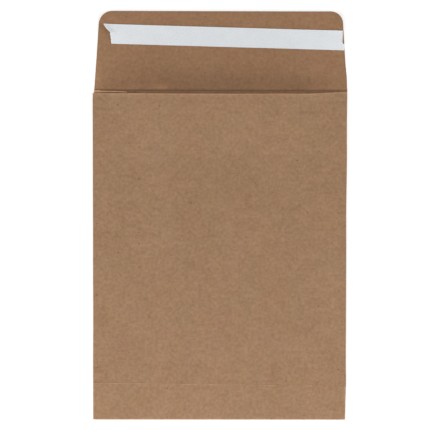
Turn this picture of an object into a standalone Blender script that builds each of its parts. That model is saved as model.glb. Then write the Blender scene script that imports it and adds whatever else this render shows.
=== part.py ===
"""Gusseted envelope of kraft card, lying flat with its closing flap opened out.

The body is one folded blank. From the far panel on the table it runs on one side through a V-folded gusset
into the near panel, and on the other through a V-folded gusset into a seam tab, which the near panel's cut edge
is glued over. The far panel's bottom flap is turned up over the near panel and glued down. The empty pocket has
relaxed: the near panel climbs from the pressed bottom fold, crowns a little across its width, and gapes most in
the middle of the mouth. Beyond the mouth the far panel runs on to the crease, where the closing flap turns. A
strip of adhesive under a torn release liner crosses the flap, a little askew.

The near panel's cut lip slants on towards the crease at its right end, and on the left the seam tab's end stands
out from under the lip.

Metres, +Z up. +Y points from the bottom fold to the flap's tip. The origin is under the middle of the envelope.
"""

import math

import bmesh
import bpy

# The card and how it folds
CARD = 0.00035
FOLD_INSIDE_RADIUS = 0.00009
LAYER_GAP = 0.00012
PIECE_GAP = 0.0003

# The body
BODY_WIDTH = 0.2540
BODY_LENGTH = 0.3302
THROAT_SETBACK = 0.0032
LIP_SLANT = 0.0020
LIP_SLANT_RUN = 0.042
GUSSET_DEPTH = 0.0175
SEAM_TAB = 0.0340
TAB_OVERHANG_LEFT = 0.0026
TAB_OVERHANG_RIGHT = 0.0020
TAB_END_INSET = 0.0014
LAYER_SETBACK = 0.0005
BOTTOM_FLAP_LEFT = 0.0360
BOTTOM_FLAP_RIGHT = 0.0336

# How far the pocket has relaxed, near panel above far panel
SIDE_LOFT = 0.0050
LOFT_RUN = 0.045
CROWN = 0.0008
CROWN_RUN = 0.120
MOUTH_GAPE = 0.0030
GAPE_RUN = 0.090

# The closing flap
FLAP_LENGTH = 0.0790
FLAP_LEFT_SETBACK = 0.0012
FLAP_RIGHT_SETBACK = 0.0
FLAP_TAPER = math.radians(4.1)
FLAP_CORNER_RADIUS = 0.014

# The adhesive strip and its liner
LINER_WIDTH = 0.0199
LINER_THICKNESS = 0.00012
LINER_FROM_TIP = 0.0256
LINER_LEFT_MARGIN = 0.0055
LINER_RIGHT_MARGIN = 0.0006
LINER_TILT = math.radians(-1.58)
TEAR_NOTCH = (0.0066, 0.0078)
TEAR_FOOT = 0.0083
ADHESIVE_THICKNESS = 0.00010
ADHESIVE_INSET = 0.0010

# How finely the curved panels are divided
PANEL_CELLS = 12
FOLD_STEPS = 4
BOTTOM_FOLD_STEPS = 8
LOFT_CELLS = 6
BODY_CELLS = 4
GAPE_CELLS = 6
CORNER_STEPS = 10

# Worked out from the sizes above
FOLD_RADIUS = CARD / 2 + FOLD_INSIDE_RADIUS
LAYER_PITCH = CARD + LAYER_GAP
PRESSED_HEIGHT = 6 * FOLD_RADIUS + LAYER_GAP + LAYER_PITCH
FAR_LEVEL = CARD / 2
PANEL_EDGE = BODY_WIDTH / 2 - CARD / 2 - FOLD_RADIUS
GUSSET_FOLD = BODY_WIDTH / 2 - GUSSET_DEPTH + FOLD_RADIUS
MOUTH = BODY_LENGTH - THROAT_SETBACK
BOTTOM_FOLD_RADIUS = (PRESSED_HEIGHT + LAYER_PITCH) / 2
BOTTOM_FOLD_CENTRE = BOTTOM_FOLD_RADIUS + CARD / 2
BOTTOM = -(BODY_LENGTH + FLAP_LENGTH) / 2
CREASE = BOTTOM + BODY_LENGTH
ADHESIVE_BASE = CARD + PIECE_GAP
LINER_BASE = ADHESIVE_BASE + ADHESIVE_THICKNESS + PIECE_GAP
LINER_TOP = LINER_BASE + LINER_THICKNESS
POCKET_TOP = CARD + SIDE_LOFT + CROWN + MOUTH_GAPE
HINGE_HEIGHT = (POCKET_TOP + PIECE_GAP + LINER_TOP) / 2


def clear_scene():
    """Remove whatever the file opened with."""
    for item in list(bpy.data.objects):
        bpy.data.objects.remove(item, do_unlink=True)


def linear(level):
    """One sRGB channel, 0 to 255, as linear light."""
    share = level / 255
    if share <= 0.04045:
        return share / 12.92
    return ((share + 0.055) / 1.055) ** 2.4


def material(name, colour, roughness):
    """A plain Principled material from an sRGB colour."""
    made = bpy.data.materials.new(name)
    made.use_nodes = True
    shader = made.node_tree.nodes["Principled BSDF"]
    shader.inputs["Base Color"].default_value = (*(linear(level) for level in colour), 1.0)
    shader.inputs["Roughness"].default_value = roughness
    shader.inputs["Metallic"].default_value = 0.0
    return made


def smooth_step(share):
    """Rise from 0 to 1 with level ends."""
    share = min(max(share, 0.0), 1.0)
    return share * share * (3 - 2 * share)


def spread(start, end, cells):
    """Evenly spaced values from start up to, but without, end."""
    return [start + (end - start) * k / cells for k in range(cells)]


def arc(centre, radius, start, turn, steps):
    """Points of an arc about centre, both ends included, angles in degrees."""
    points = []
    for k in range(steps + 1):
        angle = math.radians(start + turn * k / steps)
        points.append((centre[0] + radius * math.cos(angle), centre[1] + radius * math.sin(angle)))
    return points


def side_loft(along):
    """Near panel's height over the far panel at its side edges, at a distance from the bottom fold."""
    return PRESSED_HEIGHT + (SIDE_LOFT - PRESSED_HEIGHT) * smooth_step(along / LOFT_RUN)


def near_level(across, along):
    """Middle of the near panel's card: the side height plus a crown, and the gape towards the mouth."""
    bulge = CROWN * smooth_step(along / CROWN_RUN)
    bulge += MOUTH_GAPE * smooth_step((along - MOUTH + GAPE_RUN) / GAPE_RUN)
    share = (1 + math.cos(math.pi * across / PANEL_EDGE)) / 2
    return FAR_LEVEL + side_loft(along) + bulge * share


def gusset_profile(loft):
    """Gusset on the +X side, from the far panel's edge up to a layer at the given height over it: fold, V, fold."""
    lower = arc((PANEL_EDGE, FAR_LEVEL + FOLD_RADIUS), FOLD_RADIUS, -90, 180, FOLD_STEPS)
    inner = arc((GUSSET_FOLD, FAR_LEVEL + loft / 2), FOLD_RADIUS, -90, -180, FOLD_STEPS)
    upper = arc((PANEL_EDGE, FAR_LEVEL + loft - FOLD_RADIUS), FOLD_RADIUS, -90, 180, FOLD_STEPS)
    return lower + inner + upper


def far_stations():
    """X places across the far panel, from its right fold to its left one, both included."""
    return spread(PANEL_EDGE, -PANEL_EDGE, PANEL_CELLS) + [-PANEL_EDGE]


def near_stations():
    """X places across the near panel, from its cut left edge up to, but without, its right fold."""
    return spread(-BODY_WIDTH / 2, PANEL_EDGE, PANEL_CELLS)


def tab_stations():
    """X places across the seam tab, from just inside the left fold to its own cut edge."""
    start = -PANEL_EDGE + TAB_END_INSET
    end = -PANEL_EDGE + SEAM_TAB
    return [start] + [across for across in near_stations() if start < across < end] + [end]


def lip_slant(across):
    """How far the near panel's lip is drawn on towards the crease: nothing, then a slant up to the right fold."""
    return LIP_SLANT * max(0.0, 1 - (PANEL_EDGE - across) / LIP_SLANT_RUN)


def tab_overhang(across):
    """How far the seam tab's end stands out past the lip, askew from left to right."""
    share = (across + PANEL_EDGE) / SEAM_TAB
    return TAB_OVERHANG_LEFT + (TAB_OVERHANG_RIGHT - TAB_OVERHANG_LEFT) * share


def body_section(along):
    """Open section of the blank: near panel, right gusset, far panel, left gusset, seam tab. The last section, at the
    mouth, follows the slanted lip and the tab's end."""
    last = 1.0 if along == MOUTH else 0.0
    near = [(across, along + last * lip_slant(across), near_level(across, along)) for across in near_stations()]
    upper_fold = [last * LIP_SLANT] * (FOLD_STEPS + 1) + [0.0] * (2 * FOLD_STEPS + 2)
    profile = reversed(gusset_profile(side_loft(along)))
    right = [(across, along + drawn, level) for (across, level), drawn in zip(profile, upper_fold)]
    far = [(across, along, FAR_LEVEL) for across in far_stations()[1:-1]]
    left = [(-across, along, level) for across, level in gusset_profile(side_loft(along) - LAYER_PITCH)]
    tab = [
        (across, along + last * tab_overhang(across), near_level(across, along) - LAYER_PITCH)
        for across in tab_stations()
    ]
    return near + right + far + left + tab


def far_row(section):
    """The far panel's part of a row of section vertices, from its right fold to its left one."""
    first = PANEL_CELLS + 3 * (FOLD_STEPS + 1) - 1
    return section[first:first + PANEL_CELLS + 1]


def row(mesh, points):
    """Vertices at the given body places: across, along from the bottom fold, level."""
    return [mesh.verts.new((across, BOTTOM + along, level)) for across, along, level in points]


def skin(mesh, rows):
    """Quads from each row of vertices to the next."""
    for first, second in zip(rows, rows[1:]):
        for k in range(len(first) - 1):
            mesh.faces.new((first[k], first[k + 1], second[k + 1], second[k]))


def section_places():
    """Distances from the bottom fold at which the body's section is taken, closest where it curves most."""
    start = BOTTOM_FOLD_CENTRE + LAYER_SETBACK
    return (
        spread(start, LOFT_RUN, LOFT_CELLS)
        + spread(LOFT_RUN, MOUTH - GAPE_RUN, BODY_CELLS)
        + spread(MOUTH - GAPE_RUN, MOUTH, GAPE_CELLS)
        + [MOUTH]
    )


def bottom_flap_edge(across):
    """Height of the turned-up flap's cut edge above the bottom fold, askew from left to right."""
    share = (across + PANEL_EDGE) / (2 * PANEL_EDGE)
    return BOTTOM_FLAP_LEFT + (BOTTOM_FLAP_RIGHT - BOTTOM_FLAP_LEFT) * share


def bottom_flap_rows(mesh):
    """Rows from the turned-up flap's cut edge, down the near panel, and round the bottom fold."""
    rows = []
    for share in reversed([k / LOFT_CELLS for k in range(1, LOFT_CELLS + 1)]):
        points = []
        for across in far_stations():
            along = BOTTOM_FOLD_CENTRE + share * (bottom_flap_edge(across) - BOTTOM_FOLD_CENTRE)
            points.append((across, along, near_level(across, along) + LAYER_PITCH))
        rows.append(row(mesh, points))
    centre = (BOTTOM_FOLD_CENTRE, FAR_LEVEL + BOTTOM_FOLD_RADIUS)
    for along, level in arc(centre, BOTTOM_FOLD_RADIUS, 90, 180, BOTTOM_FOLD_STEPS):
        rows.append(row(mesh, [(across, along, level) for across in far_stations()]))
    return rows


def flap_root_row(mesh):
    """The far panel's last row, at the crease, as wide as the closing flap's root."""
    left = -BODY_WIDTH / 2 + FLAP_LEFT_SETBACK
    right = BODY_WIDTH / 2 - FLAP_RIGHT_SETBACK
    points = []
    for across in far_stations():
        share = (across + PANEL_EDGE) / (2 * PANEL_EDGE)
        points.append((left + (right - left) * share, BODY_LENGTH - PIECE_GAP / 2, FAR_LEVEL))
    return row(mesh, points)


def add_solidify(thing, thickness):
    """Give an open sheet its thickness, half to each side."""
    wall = thing.modifiers.new("card", "SOLIDIFY")
    wall.thickness = thickness
    wall.offset = 0.0
    wall.use_even_offset = True
    wall.use_quality_normals = True


def envelope_body(collection, card):
    """The folded blank up to the crease: its lofted pocket, turned-up bottom flap and lip, made one open sheet."""
    mesh = bmesh.new()
    sections = []
    for along in section_places():
        sections.append(row(mesh, body_section(along)))
    skin(mesh, sections)
    skin(mesh, bottom_flap_rows(mesh) + [far_row(sections[0])])
    skin(mesh, [far_row(sections[-1]), flap_root_row(mesh)])
    data = bpy.data.meshes.new("envelope_body")
    mesh.to_mesh(data)
    mesh.free()
    data.shade_smooth()
    data.set_sharp_from_angle(angle=math.radians(30))
    body = bpy.data.objects.new("envelope_body", data)
    body.data.materials.append(card)
    collection.objects.link(body)
    add_solidify(body, CARD)
    return body


def flat_piece(name, outline, thickness, base, hinge, collection, finish):
    """A flat piece cut to an outline, given as X and the distance past the crease, carried by the hinge."""
    curve = bpy.data.curves.new(name, "CURVE")
    curve.dimensions = "2D"
    curve.fill_mode = "BOTH"
    curve.extrude = thickness / 2
    spline = curve.splines.new("POLY")
    spline.points.add(len(outline) - 1)
    for point, (across, past) in zip(spline.points, outline):
        point.co = (across, past, 0.0, 1.0)
    spline.use_cyclic_u = True
    curve.materials.append(finish)
    piece = bpy.data.objects.new(name, curve)
    collection.objects.link(piece)
    piece.parent = hinge
    piece.location = (0.0, 0.0, base + thickness / 2 - HINGE_HEIGHT)
    return piece


def flap_side(past, side):
    """X of the closing flap's left (-1) or right (+1) edge, at a distance past the crease."""
    setback = FLAP_RIGHT_SETBACK if side > 0 else FLAP_LEFT_SETBACK
    return side * (BODY_WIDTH / 2 - setback - past * math.tan(FLAP_TAPER))


def flap_outline():
    """Closing flap: straight root, tapering sides and two round corners."""
    root = PIECE_GAP / 2
    taper = math.degrees(FLAP_TAPER)
    level = FLAP_LENGTH - FLAP_CORNER_RADIUS
    reach = FLAP_CORNER_RADIUS / math.cos(FLAP_TAPER)
    right = (flap_side(level, 1) - reach, level)
    left = (flap_side(level, -1) + reach, level)
    outline = [(flap_side(root, -1), root), (flap_side(root, 1), root)]
    outline += arc(right, FLAP_CORNER_RADIUS, taper, 90 - taper, CORNER_STEPS)
    outline += arc(left, FLAP_CORNER_RADIUS, 90, 90 - taper, CORNER_STEPS)
    return outline


def strip_frame():
    """The liner's middle line on the flap: its left end, its length, and the two directions of its frame."""
    level = FLAP_LENGTH - LINER_FROM_TIP
    left = flap_side(level, -1) + LINER_LEFT_MARGIN
    right = flap_side(level, 1) - LINER_RIGHT_MARGIN
    length = (right - left) / math.cos(LINER_TILT)
    middle = (left + right) / 2
    start = (middle - math.cos(LINER_TILT) * length / 2, level - math.sin(LINER_TILT) * length / 2)
    lengthwise = (math.cos(LINER_TILT), math.sin(LINER_TILT))
    upward = (-math.sin(LINER_TILT), math.cos(LINER_TILT))
    return start, length, lengthwise, upward


def on_strip(points):
    """Points along and across the liner's middle line, as places on the flap."""
    start, _, lengthwise, upward = strip_frame()
    return [
        (
            start[0] + along * lengthwise[0] + across * upward[0],
            start[1] + along * lengthwise[1] + across * upward[1],
        )
        for along, across in points
    ]


def liner_outline():
    """Release liner: a long strip with a torn left end, cut back from its top corner to its foot."""
    _, length, _, _ = strip_frame()
    half = LINER_WIDTH / 2
    return on_strip([
        (0.0, half),
        (TEAR_NOTCH[0], half - TEAR_NOTCH[1]),
        (TEAR_FOOT, -half),
        (length, -half),
        (length, half),
    ])


def adhesive_outline():
    """Adhesive strip: inside the liner all round, from its torn foot to its right end."""
    _, length, _, _ = strip_frame()
    half = LINER_WIDTH / 2 - ADHESIVE_INSET
    start = TEAR_FOOT + ADHESIVE_INSET
    end = length - ADHESIVE_INSET
    return on_strip([(start, half), (start, -half), (end, -half), (end, half)])


def flap_hinge(collection):
    """Empty on the axis that the closing flap turns about, over the crease at half the closed height."""
    hinge = bpy.data.objects.new("flap_hinge", None)
    hinge.location = (0.0, CREASE, HINGE_HEIGHT)
    collection.objects.link(hinge)
    return hinge


def build():
    """The whole envelope in its own collection."""
    clear_scene()
    collection = bpy.data.collections.new("cardboard_envelope")
    bpy.context.scene.collection.children.link(collection)
    card = material("kraft_card", (158, 125, 96), 0.85)
    inner_card = material("kraft_card_inner", (150, 114, 86), 0.85)
    adhesive = material("adhesive", (214, 208, 190), 0.35)
    liner = material("release_liner", (216, 220, 223), 0.45)
    envelope_body(collection, card)
    hinge = flap_hinge(collection)
    flat_piece("closing_flap", flap_outline(), CARD, 0.0, hinge, collection, inner_card)
    flat_piece(
        "adhesive_strip", adhesive_outline(), ADHESIVE_THICKNESS, ADHESIVE_BASE, hinge, collection, adhesive
    )
    flat_piece("release_liner", liner_outline(), LINER_THICKNESS, LINER_BASE, hinge, collection, liner)


build()
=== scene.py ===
"""Looks of a gusseted kraft envelope, lying flat with its closing flap opened out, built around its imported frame.

The card is one sheet of three grids that share their edges: the tube (near panel, gussets, far panel, seam tab), the
bottom flap that goes on round the bottom fold and up over the near panel, and the throat and closing flap that go on
beyond the mouth. Across is X from the envelope's middle, along is the distance from the bottom fold, and past is the
distance beyond the flap's crease. Metres.
"""

import math

import bpy
import numpy as np
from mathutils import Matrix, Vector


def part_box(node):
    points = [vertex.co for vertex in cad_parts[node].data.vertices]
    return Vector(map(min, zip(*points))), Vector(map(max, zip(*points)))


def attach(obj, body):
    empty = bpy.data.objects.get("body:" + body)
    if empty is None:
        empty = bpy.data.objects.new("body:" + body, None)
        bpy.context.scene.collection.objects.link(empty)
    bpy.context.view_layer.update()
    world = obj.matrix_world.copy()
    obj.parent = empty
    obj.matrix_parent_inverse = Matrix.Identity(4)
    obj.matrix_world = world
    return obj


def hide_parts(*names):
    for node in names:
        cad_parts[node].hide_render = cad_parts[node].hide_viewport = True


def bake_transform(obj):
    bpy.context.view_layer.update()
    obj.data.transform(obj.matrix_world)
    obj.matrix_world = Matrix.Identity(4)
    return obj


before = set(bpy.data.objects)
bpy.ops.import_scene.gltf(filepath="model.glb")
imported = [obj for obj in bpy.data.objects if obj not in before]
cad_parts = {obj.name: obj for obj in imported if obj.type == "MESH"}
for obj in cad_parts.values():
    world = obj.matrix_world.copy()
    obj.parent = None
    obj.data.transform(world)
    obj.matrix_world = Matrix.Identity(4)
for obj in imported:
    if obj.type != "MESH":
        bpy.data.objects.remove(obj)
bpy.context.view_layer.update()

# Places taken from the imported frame
BODY_LOW, BODY_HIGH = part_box("envelope_body")
FLAP_LOW, FLAP_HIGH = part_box("closing_flap")
CARD = FLAP_HIGH.z - FLAP_LOW.z
BOTTOM = BODY_LOW.y
CREASE = (BODY_HIGH.y + FLAP_LOW.y) / 2
BODY_LENGTH = CREASE - BOTTOM
FLAP_LENGTH = FLAP_HIGH.y - CREASE
HALF_WIDTH = 0.1270

# The card's folds, flaps and corners
FOLD_INSIDE_RADIUS = 0.00009
LAYER_GAP = 0.00012
THROAT_SETBACK = 0.0032
GUSSET_DEPTH = 0.0175
SEAM_TAB = 0.0340
LAYER_SETBACK = 0.0005
BOTTOM_FLAP_LEFT = 0.0371
BOTTOM_FLAP_RIGHT = 0.0347
BOTTOM_FLAP_WAVER = (0.0001, 60)  # a waver is a sine's size and its radians to the metre
FLAP_LEFT_SETBACK = 0.0012
FLAP_TAPER = math.radians(4.1)
FLAP_CORNER_RADIUS = 0.014
RIGHT_CORNER_RADIUS = 0.0125

# The release liner and the adhesive under it
LINER_WIDTH = 0.0193
LINER_THICKNESS = 0.00012
LINER_FROM_TIP = 0.02585
LINER_LEFT_MARGIN = 0.0055
LINER_RIGHT_MARGIN = 0.0006
LINER_TILT = math.radians(-1.48)
LINER_RIPPLE = 0.00004
LINER_RIPPLE_SINES = ((210, 0), (97, 260))  # radians to the metre, along and across the liner
LINER_RIPPLE_ROWS = (1.2, 310)  # level, and radians to the metre across
LINER_CLEARANCE = 0.00006
TEAR_TOP = ((0.0066, 0.0078), (0.0054, 0.0068), (0.0031, 0.0048), (0.0015, 0.0028))  # inset, distance below the top
TEAR_FOOT = 0.0083
TEAR_RAGGEDNESS = 0.00022
TEAR_SINES = ((2100, 0.3), (3900, 1.1), (6700, 2.7), (11300, 0.9))  # radians to the metre, phase
TORN_END_LIFT = 0.0017
TORN_END_RUN = 0.008
TORN_END_SPREAD = 1.4
END_SETBACK = 0.00078
END_NICK = (0.00215, -0.0034, -0.0026)  # a ramp across the liner
ADHESIVE_THICKNESS = 0.00010
ADHESIVE_INSET = 0.0010
ADHESIVE_START_WAVER = (0.0004, 900)
ADHESIVE_END_WAVER = (0.0003, 700)
ADHESIVE_SIDE_WAVER = (0.02, 80)

# How the empty pocket has relaxed. A ramp is a size with the two places between which it grows in.
LEFT_LOFT = 0.0030
RIGHT_LOFT = 0.0036
LOFT_RUN = 0.190
CROWN = 0.0004
CROWN_RUN = 0.140
LIP_HEIGHT = 0.0095
LEFT_SPREAD = 0.067
RIGHT_SPREAD = 0.080
GAPE_REACH = (-0.072, 0.0072)  # from the mouth
LIP_FLARE = 0.00026
LIP_FLARE_RUN = 0.0028
LIP_FLARE_GROWTH = 4  # how fast the flare grows in with the arch
SLOW_WAVE = 0.00014
SLOW_SINES = ((34, 9, 0.6, 1.0), (-15, 27, 2.1, 0.7), (52, -21, 0.0, 0.5))  # across, along, phase, weight
GUSSET_BOW = 0.00025

# The lip's line, and the end of the seam tab beside it
LIP_START = 0.00021
LIP_FALL = (0.00064, -0.140, -0.045)
LIP_RETURN = (0.00025, 0.020, 0.065)
LIP_SLANT = 0.0620
LIP_SLANT_START = 0.0885
LIP_SLANT_SOFTNESS = 0.006
LIP_SLANT_EASE = (0.12, 0.112, 0.127)
LIP_SHIFT_RUN = 0.03
TAB_OVERHANG_LEFT = 0.0029
TAB_OVERHANG_RIGHT = 0.0019
TAB_OVERHANG_RUN = 0.008
TAB_END_STEP = (0.00052, 0.0013)
TAB_END_CUT = (0.15, 0.75, 1.0)
TAB_SAG = (0.00100, -0.009, -0.003)
TAB_SAG_RUN = 0.018
TAB_CURL = (0.00135, -0.0011, -0.0001)
TAB_CURL_RUN = 0.003
TAB_CURL_LOSS = (0.25, 0.6, 1.0)

# How the outline strays from straight
LEFT_PINCH = 0.0001
RIGHT_PINCH = 0.0003
PINCH_RUN = 0.004
EDGE_WANDER = 0.00010
EDGE_WANDER_RATES = (29, 71)
LEFT_BENDS = ((0.110, 0.045, -0.00027),)  # place, run, reach
RIGHT_BENDS = ((0.213, 0.055, -0.00055), (0.034, 0.018, 0.00045), (0.300, 0.030, -0.00030))
RIGHT_BULGE = (0.0135, 0.0080, 0.0004)
CUT_OVERHANG_START = 0.9
BOTTOM_LEAN = 0.0005
BOTTOM_LEAN_RUN = 0.030
BOTTOM_FLARE = 0.0005
BOTTOM_FLARE_RUN = 0.002

# How the flaps and the score lie
SCORE_HEIGHT = 0.00058
SCORE_WIDTH = 0.00086
SCORE_OFFSET = 0.00085
SCORE_ROWS = np.arange(-7, 17) / 3  # in widths of the score
LEFT_SPRING = (0.0013, 0.006, 0.030, 0.025)  # height, climb, fall, fade
RIGHT_SPRING = (0.0006, 0.010, 0.040, 0.012)
SPRING_START = 0.004
FLAP_CURL = 0.0018
FLAP_DRAW = 0.00025
CORNER_CURL = 0.0022
CORNER_CURL_START = 0.45  # share of the flap's length
CORNER_CURL_POWER = 6
BOTTOM_FLAP_LIFT = 0.00004
BOTTOM_FLAP_LIFT_RUN = 0.0016
BOTTOM_FLAP_LIFT_WAVER = (0.3, 47)
EDGE_RELIEF = 0.00047
EDGE_RELIEF_START = 0.00020
EDGE_RELIEF_RUN = 0.018
EDGE_RELIEF_FADE = 0.004
EDGE_FOLLOW_RUN = 0.012

# Tones: how much lighter or darker the card is in places, as shares of its colour. Most are painted shade and painted
# light standing in for how the lamps fall near the lip, the crease and the folds; the rest is bruised and pale cut
# fibres.
# Darker along the folds and the flap's outline: partly bruised fibres, partly painted shade where the card turns away
# from the light
FOLD_BRUISE_AND_SHADE = (0.06, 0.0012)  # depth, reach
# Painted shade along the crease, where the score's bead turns away from the light, with some bruised fibres: depth
# and reach, where it is centred, the share kept at the left and how it grows in to the right
SCORE_BRUISE_AND_SHADE = (0.16, 0.0017)
SCORE_SHADE_PLACE = 0.0007
SCORE_SHADE_LEFT = 0.35
SCORE_SHADE_GROWTH = (0.65, -0.095, -0.060)
# Painted shadow of the raised lip on the flap beside the middle of the score: its depth, and where it fades in and
# out across and past the crease
SCORE_SHADOW = 0.045
SCORE_SHADOW_ACROSS = (-0.066, -0.050, 0.075, 0.100)
SCORE_SHADOW_PAST = (0.0032, 0.0065, 0.0080, 0.0200)
# Painted light in the throat, which lies in the lip's shadow: its size, and where it grows in
THROAT_LIGHT = (0.065, -0.0002, 0.0010)
# Painted light on the flap's two ends beside the crease, where the lip casts less shadow: its size and where it ends
# at the left, its size and where it grows in at the right, and its stretch past the crease
LEFT_END_LIGHT = (0.10, -0.055, -0.050)
RIGHT_END_LIGHT = (0.13, 0.080, 0.100)
END_LIGHT_PAST = (0.0004, 0.0022, 0.0040, 0.0090)
# Painted light at the root of the flap's left side: its size and where it grows in past the crease, how far in from
# the outline and past the crease it reaches, and how sharply it fades
ROOT_LIGHT = (0.30, 0.0, 0.0030)
ROOT_LIGHT_INSIDE = 0.0065
ROOT_LIGHT_PAST = 0.026
ROOT_LIGHT_POWER = 1.3
# Painted highlight on a small crinkle left of the flap's root: its strength, place and size
CRINKLE_HIGHLIGHT = 0.24
CRINKLE_PLACE = (-0.0595, 0.0031)
CRINKLE_SIZE = (0.0050, 0.0010)
# Painted highlight on the seam tab's curled end, and painted shadow of the lip on the tab just behind it
TAB_END_HIGHLIGHT = (0.22, -0.0011, -0.0003)
TAB_SHADOW = 0.25
TAB_SHADOW_ALONG = (-0.0040, -0.0020, -0.0014, -0.0007)
TAB_SHADOW_ACROSS = (0.004, 0.018)
# Painted highlight over the near panel's last few millimetres before the lip
LIP_HIGHLIGHT = (0.035, -0.0060, -0.0010)
# Cut edges lighter: partly pale cut fibres, partly a painted highlight where they catch the light; its strength and
# reach
CUT_EDGE_LIGHT = 0.30
CUT_EDGE_LIGHT_REACH = 0.0015
SIDE_CUT_REST = 0.0006  # the sides' cut edges get less of the lighter edge, as if this far off
BOTTOM_CUT_REST = 0.00032
BOTTOM_CUT_VARIES = 0.00016
BOTTOM_CUT_SINES = ((95, 1.0, 1.0), (263, 0.0, 0.7))  # radians to the metre, phase, weight

# Grid cells
CELL = 0.0030
FINE_SHARES = (0.04, 0.10, 0.22, 0.45)
FOLD_STEPS = 6
GUSSET_CELLS = 7
BOTTOM_FOLD_STEPS = 10
CORNER_STEPS = 16
LINER_CELL = 0.0012

# Worked out from the sizes above
FOLD_RADIUS = CARD / 2 + FOLD_INSIDE_RADIUS
LAYER_PITCH = CARD + LAYER_GAP
PRESSED_HEIGHT = 6 * FOLD_RADIUS + LAYER_GAP + LAYER_PITCH
FAR_LEVEL = CARD / 2
PANEL_EDGE = HALF_WIDTH - CARD / 2 - FOLD_RADIUS
GUSSET_FOLD = HALF_WIDTH - GUSSET_DEPTH + FOLD_RADIUS
GUSSET_WAY = 2 * GUSSET_DEPTH
MOUTH = BODY_LENGTH - THROAT_SETBACK
BOTTOM_FOLD_RADIUS = (PRESSED_HEIGHT + LAYER_PITCH) / 2
BOTTOM_FOLD_CENTRE = BOTTOM_FOLD_RADIUS + CARD / 2
FLAP_EDGE_MIDDLE = (BOTTOM_FLAP_LEFT + BOTTOM_FLAP_RIGHT) / 2

# Colours as seen, 0 to 255
OUTER_FACE = (160.5, 126, 95.8)
INNER_FACE = (158.5, 120.6, 89.3)
CUT_FACE = (168, 136, 106)
ADHESIVE_COLOUR = (214, 208, 190)
LINER_COLOUR = (236.5, 240.5, 244)

# How the card's colour varies: lighter fibres are paler, darker ones browner, and slow clouds shift the hue
FIBRE_TINT = (0.92, 1.0, 1.31)
HUE_SHIFTS = (((0.100, -0.052, -0.070), 36.0), ((-0.012, -0.090, 0.135), 43.0))  # tint, clouds to the metre
CLOUDS = (24.0, 2.0, 0.7)  # features to the metre, detail, roughness
MOTTLE = (105.0, 1.0)
FORMATION = (300.0, 2.0, 0.6)
TOOTH = (1700.0, 2.0, 0.6)
STREAKS = ((8, 130.0, 1500.0), (71, 170.0, 1700.0), (118, 150.0, 1900.0), (153, 120.0, 1600.0))
STREAK_RANGE = (0.56, 0.72)
FLECKS_TO_METRE = 95.0
FLECK_CHANCE = 0.90
FLECK_EDGE = (0.025, 0.065)
FLECK_COLOUR = 0.30  # share of the ground colour
FIBRE_WEIGHTS = (0.22, 0.25, 0.62, 0.66, 0.05)  # of clouds, mottle, formation, tooth and streaks in the colour
RELIEF_WEIGHTS = (0.5, 0.6, 0.35)  # of formation, tooth and streaks in the surface
CARD_ROUGHNESS = (0.86, 0.25)  # level, and swing with the tooth
CARD_RELIEF = (0.35, 0.00006)  # the bump's strength and depth
CARD_SPECULAR = 0.25

# The liner's and the adhesive's finish
LINER_CLOUDS = (90.0, 3.0)
LINER_GRAIN = (900.0, 2.0)
LINER_WEIGHTS = (0.09, 0.27, 1.0, 1.0)  # of clouds, grain, torn fringe and edge in the colour
TORN_FRINGE = (0.0010, 0.06)  # reach, and how much lighter
# Painted highlight along the liner's cut edges: its reach, and how much lighter it is
LINER_EDGE_HIGHLIGHT = (0.0008, 0.05)
LINER_ROUGHNESS = (0.36, 0.52)
LINER_RELIEF = (0.2, 0.00003)
LINER_SPECULAR = 0.35
ADHESIVE_RIBS = (40.0, 900.0, 1.0)  # to the metre
ADHESIVE_GAIN = (0.12, 0.94)  # swing with the ribs, and level
ADHESIVE_ROUGHNESS = (0.22, 0.40)
ADHESIVE_RELIEF = (0.5, 0.00004)
ADHESIVE_SPECULAR = 0.5

# The camera: nearly straight down, a little nearer the flap
CAMERA_DISTANCE = 1.20
CAMERA_TILT = math.radians(-1.94)
CAMERA_ROLL = math.radians(0.154)
CAMERA_AIM = (0.0002, -0.0037)
FRAME_WIDTH = 0.4413

# The light
LAMPS = (("foot_light", 180, 16, 7.2), ("left_light", 280, 20, 5.45), ("right_light", 80, 16, 5.95))
LAMP_DISTANCE = 0.90
LAMP_SIZE = 0.50
AMBIENT = 0.252
FLOOR_WHITE = 0.80
FLOOR_LIFT = 0.49
FLOOR_NEAR = 0.40
FLOOR_FAR = 0.75
FLOOR_SIZE = 6.0


def rise(values, start, end):
    """0 before start and 1 after end, with the smooth cubic 3t^2 - 2t^3 between them."""
    share = np.clip((values - start) / (end - start), 0.0, 1.0)
    return share * share * (3.0 - 2.0 * share)


def stations(start, end, cell, fine_start=True, fine_end=True):
    """Places from start to end, evenly a cell apart or less, with closer ones beside each end that is fine."""
    count = max(1, math.ceil(abs(end - start) / cell))
    step = (end - start) / count
    places = [np.linspace(start, end, count + 1)]
    if fine_start:
        places.append(start + step * np.array(FINE_SHARES))
    if fine_end:
        places.append(end - step * np.array(FINE_SHARES))
    ordered = np.sort(np.concatenate(places))
    return ordered if end > start else ordered[::-1]


def arc(centre_across, centre_level, radius, start, turn, steps):
    """Columns along a circular arc in a section, angles in degrees; the centre may differ from row to row."""
    angle = np.radians(start + turn * np.arange(steps + 1) / steps)
    return centre_across + radius * np.cos(angle), centre_level + radius * np.sin(angle)


def side_loft(along, side):
    """Height of the near panel over the far one at a side fold: pressed at the bottom, then a smooth climb."""
    top = LEFT_LOFT if side < 0 else RIGHT_LOFT
    return PRESSED_HEIGHT + (top - PRESSED_HEIGHT) * rise(along, 0.0, LOFT_RUN)


def ramp(values, shape):
    """A size that grows in by that rise between two places; the three come together as the shape."""
    size, start, end = shape
    return size * rise(values, start, end)


def band(values, places):
    """1 inside a stretch and 0 outside it: it fades in between the first two places and out between the last two."""
    return rise(values, *places[:2]) * (1 - rise(values, *places[2:]))


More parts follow.
